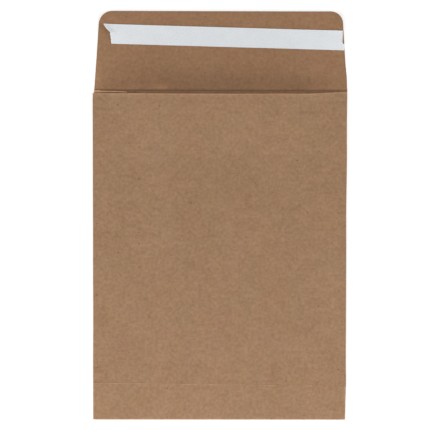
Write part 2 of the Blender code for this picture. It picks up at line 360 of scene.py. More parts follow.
def waver(values, shape):
    """A sine of a size and a rate in radians to the metre, which come together as the shape."""
    size, rate = shape
    return size * np.sin(values * rate)


def side_edge(along, side):
    """Distance of a side fold's centre from the middle: straight, pinched in beside the bottom flap, with a few
    broad Gaussian bends and a slow wander of two sines."""
    flap_edge = BOTTOM_FLAP_LEFT if side < 0 else BOTTOM_FLAP_RIGHT
    pinched = LEFT_PINCH if side < 0 else RIGHT_PINCH
    pinch = pinched * (1 - rise(along, flap_edge - PINCH_RUN / 2, flap_edge + PINCH_RUN / 2))
    slow, quick = EDGE_WANDER_RATES
    wander = EDGE_WANDER * (np.sin(along * slow + side) + 0.5 * np.sin(along * quick + 2 * side))
    bends = LEFT_BENDS if side < 0 else RIGHT_BENDS
    bent = sum(reach * np.exp(-(((along - place) / run) ** 2)) for place, run, reach in bends)
    return PANEL_EDGE - pinch + bent + wander * rise(along, BOTTOM_FOLD_CENTRE, LOFT_RUN)


def near_level(across, along):
    """Middle of the near panel's card: straight between the two side folds, with a low cosine crown. Towards the
    mouth it rises into a wide flat arch, a raised cosine up from each side fold, and its last millimetres flare up
    exponentially. Slow crossed sines fade out at the sides, and the bottom flap's edge presses a step into it."""
    share = np.clip(across / (2 * PANEL_EDGE) + 0.5, 0.0, 1.0)
    sides = side_loft(along, -1) * (1 - share) + side_loft(along, 1) * share
    inside = (1 + np.cos(np.pi * np.clip(across / PANEL_EDGE, -1, 1))) / 2
    crown = CROWN * rise(along, BOTTOM_FLAP_LEFT / 2, CROWN_RUN) * inside
    from_left = np.clip((PANEL_EDGE + across) / LEFT_SPREAD, 0, 1)
    from_right = np.clip((PANEL_EDGE - across) / RIGHT_SPREAD, 0, 1)
    arch = (1 - np.cos(np.pi * from_left)) * (1 - np.cos(np.pi * from_right)) / 4
    gape = (LIP_HEIGHT - sides - crown) * arch * rise(along - MOUTH, *GAPE_REACH)
    flare = LIP_FLARE * np.exp((along - MOUTH) / LIP_FLARE_RUN) * np.clip(arch * LIP_FLARE_GROWTH, 0, 1)
    slow = sum(
        weight * np.sin(across * rate_across + along * rate_along + phase)
        for rate_across, rate_along, phase, weight in SLOW_SINES
    )
    wave = SLOW_WAVE * slow * inside * rise(along, 0.0, CROWN_RUN)
    return FAR_LEVEL + sides + crown + gape + flare + wave + edge_relief(across, along)


def edge_relief(across, along):
    """How far the near panel stands up just beyond the turned-up flap's cut edge, which is pressed into it: a short
    rise, then an exponential fall, fading out at the sides."""
    beyond = along - bottom_flap_edge(across)
    height = EDGE_RELIEF * rise(PANEL_EDGE - np.abs(across), 0.0, EDGE_RELIEF_FADE)
    return height * rise(beyond, 0.0, EDGE_RELIEF_START) * np.exp(-np.maximum(beyond, 0) / EDGE_RELIEF_RUN)


def gusset(along, loft, side):
    """A gusset's columns from the far panel's edge up to the layer at the given height over it: an outer fold, a
    V bowed a little inwards round its middle fold, and an outer fold again. Each fold is an arc."""
    edge = side_edge(along, side)
    radius = FOLD_RADIUS
    lower = arc(edge, FAR_LEVEL + radius, radius, -90, 180, FOLD_STEPS)
    inner = arc(GUSSET_FOLD, FAR_LEVEL + loft / 2, radius, -90, -180, FOLD_STEPS)
    upper = arc(edge, FAR_LEVEL + loft - radius, radius, -90, 180, FOLD_STEPS)
    rows = np.ones_like(along)
    share = np.arange(1, GUSSET_CELLS) / GUSSET_CELLS
    bow = GUSSET_BOW * rise(along, LOFT_RUN, MOUTH) * np.sin(np.pi * share)
    columns_across, columns_level = [], []
    for across, level in (lower, inner, upper):
        across, level = across * rows, level * rows
        if columns_across:
            start_across, start_level = columns_across[-1][:, -1:], columns_level[-1][:, -1:]
            turn = 1 if len(columns_across) > 1 else -1
            columns_across.append(start_across + (across[:, :1] - start_across) * share)
            columns_level.append(start_level + (level[:, :1] - start_level) * share - turn * bow)
        columns_across.append(across)
        columns_level.append(level)
    return side * np.hstack(columns_across), np.hstack(columns_level)


def panel_shares():
    """Places across the far panel, from its right fold at 1 to its left fold at -1."""
    return stations(PANEL_EDGE, -PANEL_EDGE, CELL * 1.6) / PANEL_EDGE


def stretched(shares, along):
    """X of places given as shares of the way to the side fold, which wanders a little along the envelope."""
    return shares * np.where(shares > 0, side_edge(along, 1), side_edge(along, -1))


def tube_rows():
    """Distances from the bottom fold at which the tube's section is taken, closest at both ends and at the edge of
    the turned-up bottom flap."""
    low = stations(BOTTOM_FOLD_CENTRE + LAYER_SETBACK, FLAP_EDGE_MIDDLE, CELL)
    high = stations(FLAP_EDGE_MIDDLE, MOUTH, CELL)
    return np.unique(np.concatenate([low, high]))[:, None]


def edge_follow(across, along):
    """How far the tube's rows are moved so that the closest ones follow the turned-up flap's askew edge, with a
    Gaussian fade to both sides of it."""
    near = np.exp(-(((along - FLAP_EDGE_MIDDLE) / EDGE_FOLLOW_RUN) ** 2))
    return (bottom_flap_edge(across) - FLAP_EDGE_MIDDLE) * near


def tube_section(along):
    """The blank's open section at every row: near panel from its cut left edge, right gusset, far panel, left
    gusset, and the seam tab under the near panel's cut edge. Gives across, along and level of its points, and the
    numbers of the far panel's first and last column."""
    near_shares = stations(-PANEL_EDGE, PANEL_EDGE, CELL)[:-1] / PANEL_EDGE
    cut_overhang = (HALF_WIDTH - PANEL_EDGE) * rise(-near_shares, CUT_OVERHANG_START, 1.0)
    near_across = stretched(near_shares, along) - cut_overhang
    right_across, right_level = gusset(along, side_loft(along, 1), 1)
    left_across, left_level = gusset(along, side_loft(along, -1) - LAYER_PITCH, -1)
    far_across = stretched(panel_shares()[1:-1], along)
    tab_across = stations(0.0, SEAM_TAB, CELL)[1:] - side_edge(along, -1)
    near_along = along + edge_follow(near_across, along)
    fold_across = right_across[:, -1:]
    drawn = edge_follow(fold_across, along) + lip_shift(fold_across, along)
    fade = np.clip(1 - (np.arange(right_across.shape[1]) - FOLD_STEPS) / GUSSET_CELLS, 0, 1)
    places = np.hstack([
        near_along + lip_shift(near_across, along),
        along + drawn * fade,
        along * np.ones_like(far_across),
        along * np.ones_like(left_across),
        along + tab_overhang(tab_across, along),
    ])
    tab_level = near_level(tab_across, along) - edge_relief(tab_across, along) - LAYER_PITCH
    level = np.hstack([
        near_level(near_across, near_along),
        right_level[:, ::-1],
        np.full_like(far_across, FAR_LEVEL),
        left_level,
        tab_level + tab_lie(tab_across, along),
    ])
    across = np.hstack([near_across, right_across[:, ::-1], far_across, left_across, tab_across])
    first = near_across.shape[1] + right_across.shape[1] - 1
    last = first + far_across.shape[1] + 1
    return across, places, level, first, last


def lip_shift(across, along):
    """How far the near panel is drawn on towards the crease: its cut lip falls back from its left end, comes forward
    a little right of the middle, and beyond a soft knee slants in a straight line that eases off at the corner. The
    shift fades down the panel."""
    bowed = LIP_START - ramp(across, LIP_FALL) + ramp(across, LIP_RETURN)
    beyond = across - LIP_SLANT_START
    slant = LIP_SLANT * (beyond + np.hypot(beyond, LIP_SLANT_SOFTNESS)) / 2
    slant = slant * (1 - ramp(across, LIP_SLANT_EASE))
    return (bowed + slant) * rise(along, MOUTH - LIP_SHIFT_RUN, MOUTH)


def tab_overhang(across, along):
    """How far the seam tab's end stands out past the near panel's lip, askew, starting just inside the left fold."""
    from_fold = across + PANEL_EDGE
    share = from_fold / SEAM_TAB
    reach = TAB_OVERHANG_LEFT + (TAB_OVERHANG_RIGHT - TAB_OVERHANG_LEFT) * share
    reach = reach * (1 - ramp(share, TAB_END_CUT)) * rise(from_fold, *TAB_END_STEP)
    return reach * rise(along, MOUTH - TAB_OVERHANG_RUN, MOUTH)


def tab_lie(across, along):
    """How the seam tab's end lies: free of glue, it sags under the lip away from its gusset, and its last millimetre
    curls up, least at its cut corner."""
    from_fold = across + PANEL_EDGE
    sag = ramp(along - MOUTH, TAB_SAG) * rise(from_fold, 0.0, TAB_SAG_RUN)
    curl = ramp(along - MOUTH, TAB_CURL) * rise(from_fold, 0.0, TAB_CURL_RUN)
    return curl * (1 - ramp(from_fold / SEAM_TAB, TAB_CURL_LOSS)) - sag


def bottom_flap_edge(across):
    """Height of the turned-up flap's cut edge above the bottom fold: a straight line, askew, with a faint waver."""
    share = np.clip(across / (2 * PANEL_EDGE) + 0.5, 0, 1)
    straight = BOTTOM_FLAP_LEFT + (BOTTOM_FLAP_RIGHT - BOTTOM_FLAP_LEFT) * share
    return straight + waver(across, BOTTOM_FLAP_WAVER)


def bottom_flap_grid(shares):
    """The turned-up flap from its cut edge down the near panel, then half a turn round the bottom fold to the far
    panel. It lies one layer above the near panel, and its edge curls up off it exponentially. Gives across, along
    and level of its points, and their way along the card from the middle of the bottom fold, below zero up the
    flap."""
    down = stations(0.0, 1.0, CELL / BOTTOM_FLAP_LEFT, True, False)[:-1, None]
    edge = bottom_flap_edge(shares * PANEL_EDGE)
    along = edge + (BOTTOM_FOLD_CENTRE - edge) * down
    flare = BOTTOM_FLARE / PANEL_EDGE
    straight = stretched(shares, along * 0.0)
    low = 1 - rise(along, BOTTOM_FOLD_CENTRE, BOTTOM_FOLD_CENTRE + BOTTOM_FLARE_RUN)
    across = straight * (1 + flare * low)
    lift = BOTTOM_FLAP_LIFT * np.exp(-(edge - along) / BOTTOM_FLAP_LIFT_RUN)
    level = near_level(across, along) + LAYER_PITCH + lift * (1 + waver(across, BOTTOM_FLAP_LIFT_WAVER))
    turned_along, turned_level = arc(
        BOTTOM_FOLD_CENTRE, FAR_LEVEL + BOTTOM_FOLD_RADIUS, BOTTOM_FOLD_RADIUS, 90, 180, BOTTOM_FOLD_STEPS
    )
    round_share = np.linspace(0, 1, BOTTOM_FOLD_STEPS + 1)[:, None]
    turned_way = -BOTTOM_FOLD_CENTRE * np.cos(np.linspace(0, np.pi, BOTTOM_FOLD_STEPS + 1))
    ones = np.ones_like(shares)
    return (
        np.vstack([across, straight[:1] * (1 + flare * (1 - rise(round_share, 0.5, 1.0)))]),
        np.vstack([along, turned_along[:, None] * ones]),
        np.vstack([level, turned_level[:, None] * ones]),
        np.vstack([-along, turned_way[:, None] * ones]),
    )


def flap_half(past, side):
    """Half width of the closing flap at a distance past its crease: a straight taper, then a quarter-circle corner
    that starts where it is tangent to the taper."""
    setback = FLAP_LEFT_SETBACK if side < 0 else 0.0
    radius = FLAP_CORNER_RADIUS if side < 0 else RIGHT_CORNER_RADIUS
    straight = HALF_WIDTH - setback - past * math.tan(FLAP_TAPER)
    level = FLAP_LENGTH - radius
    centre = HALF_WIDTH - setback - level * math.tan(FLAP_TAPER) - radius / math.cos(FLAP_TAPER)
    inside = np.clip(radius ** 2 - (past - level) ** 2, 0, None)
    touch = level + radius * math.sin(FLAP_TAPER)
    if side > 0:
        place, run, reach = RIGHT_BULGE
        straight = straight + reach * np.exp(-(((past - place) / run) ** 2))
    return np.where(past > touch, centre + np.sqrt(inside), straight)


def flap_level(across, past):
    """Middle of the closing flap's card: flat on the table, with the score's bead, a Gaussian, standing up beside
    the crease, a square-law curl towards the tip and a stronger one at its corners."""
    bead = SCORE_HEIGHT * np.exp(-(((past - SCORE_OFFSET) / SCORE_WIDTH) ** 2))
    share = np.clip(past / FLAP_LENGTH, 0, 1)
    corner = (np.abs(across) / HALF_WIDTH) ** CORNER_CURL_POWER
    corner = corner * rise(past, FLAP_LENGTH * CORNER_CURL_START, FLAP_LENGTH)
    curls = FLAP_CURL * share ** 2 + CORNER_CURL * corner
    return FAR_LEVEL + bead + curls + side_spring(across, np.maximum(past, 0.0))


def side_spring(across, past):
    """How the flap springs up near its two sides beside the crease while its side edges stay down: from the edge an
    exponential climb and a longer fall inwards, starting at the crease and fading along the flap as a Gaussian."""
    lift = 0.0
    for side, (height, climb, fall, fade) in ((-1, LEFT_SPRING), (1, RIGHT_SPRING)):
        inside = np.maximum(HALF_WIDTH - side * across, 0.0)
        shape = (1 - np.exp(-inside / climb)) * np.exp(-inside / fall)
        lift = lift + height * shape * (1 - np.exp(-past / SPRING_START)) * np.exp(-((past / fade) ** 2))
    return lift


def flap_rows():
    """Distances past the crease: close across the score, even over the flap, then by equal turns of the corners."""
    score = SCORE_OFFSET + SCORE_ROWS * SCORE_WIDTH
    level = FLAP_LENGTH - FLAP_CORNER_RADIUS
    turns = np.radians(np.linspace(math.degrees(FLAP_TAPER), 90, CORNER_STEPS + 1))
    corner = level + FLAP_CORNER_RADIUS * np.sin(turns)
    even = stations(score[-1], corner[0], CELL, False, False)[1:-1]
    tip = FLAP_LENGTH - CELL * np.array(FINE_SHARES[::-1])
    return np.unique(np.round(np.concatenate([score, even, corner, tip]), 7))[:, None]


def flap_grid(shares):
    """The throat and the closing flap. The throat is as wide as the far panel at the mouth and as the flap's root at
    the crease, and its outline has no step between them."""
    rows = flap_rows()
    root = rise(rows, -THROAT_SETBACK, 0.0)
    left = PANEL_EDGE + (flap_half(np.maximum(rows, 0.0), -1) - PANEL_EDGE) * root
    right = PANEL_EDGE + (flap_half(np.maximum(rows, 0.0), 1) - PANEL_EDGE) * root
    across = shares * np.where(shares > 0, right, left)
    past = rows * np.ones_like(across)
    return across, past, flap_level(across, past)


def fill_mesh(name, vertices, faces, attributes):
    """A mesh from arrays of points and quads, smooth, with a value or vector for each point under each name."""
    mesh = bpy.data.meshes.new(name)
    mesh.from_pydata(vertices.tolist(), [], faces.tolist())
    for key, values in attributes.items():
        kind, field = ("FLOAT_VECTOR", "vector") if values.ndim == 2 else ("FLOAT", "value")
        layer = mesh.attributes.new(key, kind, "POINT")
        layer.data.foreach_set(field, values.astype(np.float32).ravel())
    mesh.shade_smooth()
    mesh.update()
    made = bpy.data.objects.new(name, mesh)
    bpy.context.scene.collection.objects.link(made)
    return made


def quads(numbers):
    """Quads between neighbouring rows and columns of a grid of vertex numbers."""
    corners = (numbers[:-1, :-1], numbers[:-1, 1:], numbers[1:, 1:], numbers[1:, :-1])
    return np.stack([corner.ravel() for corner in corners], 1)


def add_thickness(made, thickness, inner_slot=0, rim_slot=0):
    """Gives an open sheet its thickness, half to each side."""
    wall = made.modifiers.new("thickness", "SOLIDIFY")
    wall.thickness = thickness
    wall.offset = 0.0
    wall.use_even_offset = True
    wall.use_quality_normals = True
    wall.material_offset = inner_slot
    wall.material_offset_rim = rim_slot


def grid_points(first, second, third):
    """Points of a grid from three coordinates, each an array or a number that fills the grid."""
    return np.stack(np.broadcast_arrays(first, second, third), 2)


def joined(grids):
    """Grids of points or of values, one after the other in one list."""
    return np.concatenate([grid.reshape(-1, *grid.shape[2:]) for grid in grids])


def grid_numbers(grids):
    """The vertex numbers of every grid when their points are joined."""
    counts = [grid.shape[0] * grid.shape[1] for grid in grids]
    starts = np.cumsum([0] + counts[:-1])
    return [
        start + np.arange(count).reshape(grid.shape[:2])
        for start, count, grid in zip(starts, counts, grids)
    ]


def tone_and_painted_light(distance, depth, reach):
    """How much darker the card is at a distance from a fold or crease, as a share of its colour: partly bruised
    fibres and partly painted shade.
    """
    return -depth * (1 - rise(distance, 0.0, reach))


def tab_painted_light(across, along):
    """How much lighter the seam tab's end is, a painted highlight where its curl catches the light, and how much
    darker the card just behind it is, a painted shadow of the lip.
    """
    # Painted highlight on the tab's curled end, less the painted shadow of the lip just behind it
    painted_shade = TAB_SHADOW * band(along - MOUTH, TAB_SHADOW_ALONG) * rise(across + PANEL_EDGE, *TAB_SHADOW_ACROSS)
    return ramp(along - MOUTH, TAB_END_HIGHLIGHT) - painted_shade


def flap_bruise_and_painted_light(across, past, outline):
    """How much darker or lighter the closing flap is: darker along the score and the outline, partly bruised fibres
    and partly painted shade; a painted shadow of the lip beside the middle of the score; painted light beside its
    ends near the crease, at the root of the left side and in the throat; and a painted highlight on a small crinkle
    at the left."""
    # Painted shadow of the lip beside the middle of the score
    painted_shade = -SCORE_SHADOW * band(across, SCORE_SHADOW_ACROSS) * band(past, SCORE_SHADOW_PAST)
    # Painted light in the throat
    pale = ramp(-past, THROAT_LIGHT)
    # Painted light on the flap's ends beside the crease
    ends = LEFT_END_LIGHT[0] - ramp(across, LEFT_END_LIGHT) + ramp(across, RIGHT_END_LIGHT)
    ends = ends * band(past, END_LIGHT_PAST)
    # Painted light at the root of the flap's left side
    inside = np.maximum(outline, 0.0) / ROOT_LIGHT_INSIDE
    corner = np.exp(-inside ** ROOT_LIGHT_POWER - (past / ROOT_LIGHT_PAST) ** 2)
    corner = corner * (across < 0) * ramp(past, ROOT_LIGHT)
    # Painted highlight on a small crinkle at the left
    middle_across, middle_past = CRINKLE_PLACE
    half_across, half_past = CRINKLE_SIZE
    from_crinkle = np.hypot((across - middle_across) / half_across, (past - middle_past) / half_past)
    crinkle = CRINKLE_HIGHLIGHT * np.exp(-from_crinkle ** 2)
    # Painted shade along the crease, partly bruised fibres, weaker at the left; the outline's darkening joins it
    folded = tone_and_painted_light(np.abs(past - SCORE_SHADE_PLACE), *SCORE_BRUISE_AND_SHADE)
    folded = folded * (SCORE_SHADE_LEFT + ramp(across, SCORE_SHADE_GROWTH))
    return np.minimum(folded, tone_and_painted_light(outline, *FOLD_BRUISE_AND_SHADE)) + painted_shade + pale + ends + corner + crinkle


def tube_patch():
    """The tube's part of the sheet: its points, their places on the flat blank, distances to a cut edge and tones.
    Also gives the numbers of the far panel's first and last column, and the places across the blank of its columns.
    The way across the blank is measured along the middle row, from the far panel's middle."""
    along = tube_rows()
    across, places, level, first, last = tube_section(along)
    rows, columns = across.shape
    steps = np.hypot(np.diff(across[rows // 2]), np.diff(level[rows // 2]))
    way = np.concatenate([[0.0], np.cumsum(steps)])
    way = way - (way[first] + way[last]) / 2
    edges = way[first] * np.array([1.0, -1.0])
    folds = np.concatenate([edges + np.sign(edges) * GUSSET_WAY * share for share in (0.0, 0.5, 1.0)])
    to_fold = np.abs(way[:, None] - folds).min(1) * np.ones((rows, 1))
    numbers = np.arange(columns)
    on_far = (numbers >= first) & (numbers <= last)
    on_near = numbers < np.searchsorted(way, way[first] - GUSSET_WAY)
    on_tab = numbers > np.searchsorted(way, way[last] + GUSSET_WAY)
    to_side = np.minimum(way - way[0], way[-1] - way) + SIDE_CUT_REST
    to_cut = np.minimum(np.where(on_far, 1.0, MOUTH - along), to_side)
    # Darker beside the side and gusset folds: partly bruising, partly painted shade
    tone = tone_and_painted_light(to_fold, *FOLD_BRUISE_AND_SHADE)
    # The near panel's lip gets its painted highlight, and the seam tab's end its painted highlight and painted shadow
    tone = tone + on_near * ramp(along - MOUTH, LIP_HIGHLIGHT) + on_tab * tab_painted_light(across, along)
    patch = grid_points(across, places, level), grid_points(way, places, 0.0), to_cut, tone
    return patch, first, last, way[first:last + 1]


def bottom_patch(shares, far_way):
    """The same of the turned-up bottom flap and the bottom fold. Its cut edge is lighter, partly pale fibres and
    partly a painted highlight, more in some places than in others.
    """
    across, along, level, way = bottom_flap_grid(shares)
    sines = sum(weight * np.sin(across * rate + phase) for rate, phase, weight in BOTTOM_CUT_SINES)
    # The bottom flap's cut edge is lighter, partly pale fibres and partly a painted highlight, more in some places
    to_edge = way - way[:1] + BOTTOM_CUT_REST + BOTTOM_CUT_VARIES * sines
    to_cut = np.minimum(to_edge, (1 - np.abs(shares)) * PANEL_EDGE)
    # Darker beside the bottom fold: partly bruising, partly painted shade
    tone = tone_and_painted_light(np.abs(way), *FOLD_BRUISE_AND_SHADE)
    return grid_points(across, along, level), grid_points(far_way, way, 0.0), to_cut, tone


def closing_patch(shares, far_way):
    """The same of the throat and the closing flap, whose curl draws its tip back a little. Its cut edge is not made
    lighter."""
    across, past, level = flap_grid(shares)
    drawn = past - FLAP_DRAW * np.clip(past / FLAP_LENGTH, 0, 1) ** 2
    halves = np.where(shares > 0, flap_half(past, 1), flap_half(past, -1))
    outline = np.minimum(halves - np.abs(across), FLAP_LENGTH - past)
    points = grid_points(across, BODY_LENGTH + drawn, level)
    blank = grid_points(far_way, BODY_LENGTH + past, 0.0)
    return points, blank, np.ones_like(past), flap_bruise_and_painted_light(across, past, outline)


def card_sheet(outer, inner, cut):
    """The whole folded blank as one sheet of card, its three parts sewn together along the far panel's two ends.
    Each point carries its place on the flat blank, its distance to the nearest cut edge, and how much its colour is
    changed by bruising and by painted shade and painted light. The bottom fold lies a little askew, dying out up the
    panel."""
    shares = panel_shares()
    tube_part, first, last, far_way = tube_patch()
    patches = tube_part, bottom_patch(shares, far_way), closing_patch(shares, far_way)
    point_grids, blanks, cut_distances, tones = zip(*patches)
    tube, bottom, closing = grid_numbers(point_grids)
    points = joined(point_grids)
    leaning = (0.5 - points[:, 0] / (2 * HALF_WIDTH)) * (1 - rise(points[:, 1], 0.0, BOTTOM_LEAN_RUN))
    points[:, 1] += BOTTOM - BOTTOM_LEAN * leaning
    faces = np.concatenate([
        quads(tube),
        quads(np.vstack([bottom, tube[:1, first:last + 1]])),
        quads(np.vstack([tube[-1:, first:last + 1], closing])),
    ])
    # Each point carries its tones: some bruising, mostly painted shade and painted light
    sheet = fill_mesh("card_sheet", points, faces, {
        "blank": joined(blanks), "cut_distance": joined(cut_distances), "tone_and_painted_light": joined(tones),
    })
    for finish in (outer, inner, cut):
        sheet.data.materials.append(finish)
    add_thickness(sheet, CARD, 1, 2)
    return sheet


def strip_place(lengthwise, crosswise):
    """X and distance past the crease of places along and across the liner's middle line, which crosses the flap a
    little askew between the flap's two edges."""
    level = FLAP_LENGTH - LINER_FROM_TIP
    left = -flap_half(np.array(level), -1) + LINER_LEFT_MARGIN
    right = flap_half(np.array(level), 1) - LINER_RIGHT_MARGIN
    centre = (left + right) / 2
    from_centre = lengthwise - strip_length() / 2
    across = centre + from_centre * math.cos(LINER_TILT) - crosswise * math.sin(LINER_TILT)
    past = level + from_centre * math.sin(LINER_TILT) + crosswise * math.cos(LINER_TILT)
    return across, past


def strip_length():
    """Length of the liner's middle line."""
    level = np.array(FLAP_LENGTH - LINER_FROM_TIP)
    span = flap_half(level, -1) + flap_half(level, 1) - LINER_LEFT_MARGIN - LINER_RIGHT_MARGIN
    return float(span) / math.cos(LINER_TILT)


def torn_start(crosswise):
    """Where the liner begins at each height across it: from the foot to a notch, from there in a hollow sweep out to
    the top corner, with a ragged edge of sines, each divided by its number."""
    half = LINER_WIDTH / 2
    levels = [-half] + [half - below for _, below in TEAR_TOP] + [half]
    start = np.interp(crosswise, levels, [TEAR_FOOT] + [inset for inset, _ in TEAR_TOP] + [0.0])
    ragged = sum(np.sin(crosswise * rate + turn) / order for order, (rate, turn) in enumerate(TEAR_SINES, 1))
    return start + TEAR_RAGGEDNESS * ragged


def strip_grid(start, end, half, cell):
    """Places along and across a strip: rows across it, and columns that run from its start to its end in each row."""
    crosswise = stations(-half, half, cell)[:, None]
    begin, finish = start(crosswise), end(crosswise)
    share = stations(0.0, 1.0, cell / strip_length())[None, :]
    return begin + (finish - begin) * share, crosswise * np.ones_like(share)


def strip_sheet(name, lengthwise, crosswise, level, thickness, finish, distances):
    """A sheet on the closing flap from a grid of places along and across the strip, which its points carry too."""
    across, past = strip_place(lengthwise, crosswise)
    points = grid_points(across, past + CREASE, level)
    sheet = fill_mesh(name, joined([points]), quads(grid_numbers([points])[0]), {
        **{key: values.ravel() for key, values in distances.items()},
        "strip": joined([grid_points(lengthwise, crosswise, 0.0)]),
    })
    sheet.data.materials.append(finish)
    add_thickness(sheet, thickness)
    return sheet


def release_liner(finish):
    """The liner on the adhesive: it follows the flap's curl, its torn end lifts, faint ripples run along it, and the
    lower part of its right end stands out past the rest."""
    half = LINER_WIDTH / 2

    def right_end(crosswise):
        return strip_length() + END_NICK[0] - ramp(crosswise, END_NICK) - END_SETBACK

    lengthwise, crosswise = strip_grid(torn_start, right_end, half, LINER_CELL)
    torn_distance = lengthwise - torn_start(crosswise)
    lift = TORN_END_LIFT * (1 - rise(torn_distance, 0.0, TORN_END_RUN)) ** 2
    lift = lift * rise(crosswise, -half * TORN_END_SPREAD, half)
    sines = sum(np.sin(lengthwise * along + crosswise * across) for along, across in LINER_RIPPLE_SINES)
    ripple_level, ripple_rate = LINER_RIPPLE_ROWS
    ripple = LINER_RIPPLE * sines * (ripple_level + np.sin(crosswise * ripple_rate))
    rest = CARD / 2 + ADHESIVE_THICKNESS + LINER_THICKNESS / 2 + LINER_CLEARANCE + 2.5 * LINER_RIPPLE
    level = flap_level(*strip_place(lengthwise, crosswise)) + rest + lift + ripple
    edge_distance = np.minimum(half - np.abs(crosswise), strip_length() - lengthwise)
    distances = {"torn_distance": torn_distance, "edge_distance": edge_distance}
    return strip_sheet("release_liner_sheet", lengthwise, crosswise, level, LINER_THICKNESS, finish, distances)


def adhesive_strip(finish):
    """The adhesive film on the flap under the liner, with wavering edges."""
    half = LINER_WIDTH / 2 - ADHESIVE_INSET

    def film_start(crosswise):
        return TEAR_FOOT + ADHESIVE_INSET + waver(crosswise, ADHESIVE_START_WAVER)

    def film_end(crosswise):
        return strip_length() - 2 * ADHESIVE_INSET + waver(crosswise, ADHESIVE_END_WAVER)

    lengthwise, crosswise = strip_grid(film_start, film_end, half, LINER_CELL)
    crosswise = crosswise * (1 + waver(lengthwise, ADHESIVE_SIDE_WAVER))
    level = flap_level(*strip_place(lengthwise, crosswise)) + CARD / 2 + ADHESIVE_THICKNESS / 2
    return strip_sheet("adhesive_film", lengthwise, crosswise, level, ADHESIVE_THICKNESS, finish, {})


def linear(levels):
    """An sRGB colour, 0 to 255, as linear light with full alpha."""
    share = np.array(levels) / 255
    light = np.where(share <= 0.04045, share / 12.92, ((share + 0.055) / 1.055) ** 2.4)
    return (*light.tolist(), 1.0)


def node(tree, kind, inputs=None, **settings):
    """A node of a kind with its settings, its input sockets given values or linked from other sockets."""
    made = tree.nodes.new(kind)
    for key, value in settings.items():
        setattr(made, key, value)
    for key, value in (inputs or {}).items():
        if isinstance(value, bpy.types.NodeSocket):
            tree.links.new(value, made.inputs[key])
        else:
            made.inputs[key].default_value = value
    return made


def math_node(tree, operation, *values):
    """The result of a Math node."""
    return node(tree, "ShaderNodeMath", dict(enumerate(values)), operation=operation).outputs[0]


def noise(tree, vector, scale, detail=2.0, roughness=0.5):
    """Fractal noise, 0 to 1 around a half, at a number of features to the metre."""
    sockets = {"Vector": vector, "Scale": scale, "Detail": detail, "Roughness": roughness}
    return node(tree, "ShaderNodeTexNoise", sockets).outputs["Fac"]


def remap(tree, value, low, high, to_low, to_high, smooth=False):
    """A value's range mapped to another and clipped to it."""
    sockets = {"Value": value, "From Min": low, "From Max": high, "To Min": to_low, "To Max": to_high}
    kind = "SMOOTHSTEP" if smooth else "LINEAR"
    return node(tree, "ShaderNodeMapRange", sockets, interpolation_type=kind).outputs["Result"]


def turned(tree, vector, angle, scale):
    """Coordinates turned about Z and stretched, so that noise on them makes streaks along that direction."""
    sockets = {"Vector": vector, "Rotation": (0.0, 0.0, math.radians(angle)), "Scale": scale}
    return node(tree, "ShaderNodeMapping", sockets).outputs["Vector"]


def new_group(name, inputs, outputs):
    """A shader node group with named sockets; gives the tree and its input and output nodes."""
    tree = bpy.data.node_groups.new(name, "ShaderNodeTree")
    for direction, sockets in (("INPUT", inputs), ("OUTPUT", outputs)):
        for socket, kind in sockets.items():
            tree.interface.new_socket(name=socket, in_out=direction, socket_type=kind)
    return tree, tree.nodes.new("NodeGroupInput"), tree.nodes.new("NodeGroupOutput")


def swing(tree, vector, *settings):
    """The same noise as a swing to both sides of zero."""
    return math_node(tree, "SUBTRACT", noise(tree, vector, *settings), 0.5)


def weighted_sum(tree, values, weights):
    """The sum of values, each times its weight."""
    total = None
    for value, weight in zip(values, weights):
        part = math_node(tree, "MULTIPLY", value, weight)
        total = part if total is None else math_node(tree, "ADD", total, part)
    return total


def scaled(tree, vector, factor):
    """A colour or vector times a value."""
    return node(tree, "ShaderNodeVectorMath", {0: vector, "Scale": factor}, operation="SCALE").outputs[0]


def combined(tree, operation, first, second):
    """Two colours or vectors added or multiplied."""
    return node(tree, "ShaderNodeVectorMath", {0: first, 1: second}, operation=operation).outputs[0]


def fleck_share(tree, place):
    """1 on scattered flecks of different strength and 0 between them: soft dots round the points of some Voronoi
    cells."""
    sockets = {"Vector": place, "Scale": FLECKS_TO_METRE, "Randomness": 1.0}
    flecks = node(tree, "ShaderNodeTexVoronoi", sockets, voronoi_dimensions="2D")
    lots = node(tree, "ShaderNodeSeparateColor", {0: flecks.outputs["Color"]})
    chosen = math_node(tree, "GREATER_THAN", lots.outputs[0], FLECK_CHANCE)
    spot = remap(tree, flecks.outputs["Distance"], *FLECK_EDGE, 1.0, 0.0, True)
    return math_node(tree, "MULTIPLY", chosen, math_node(tree, "MULTIPLY", spot, lots.outputs[1]))


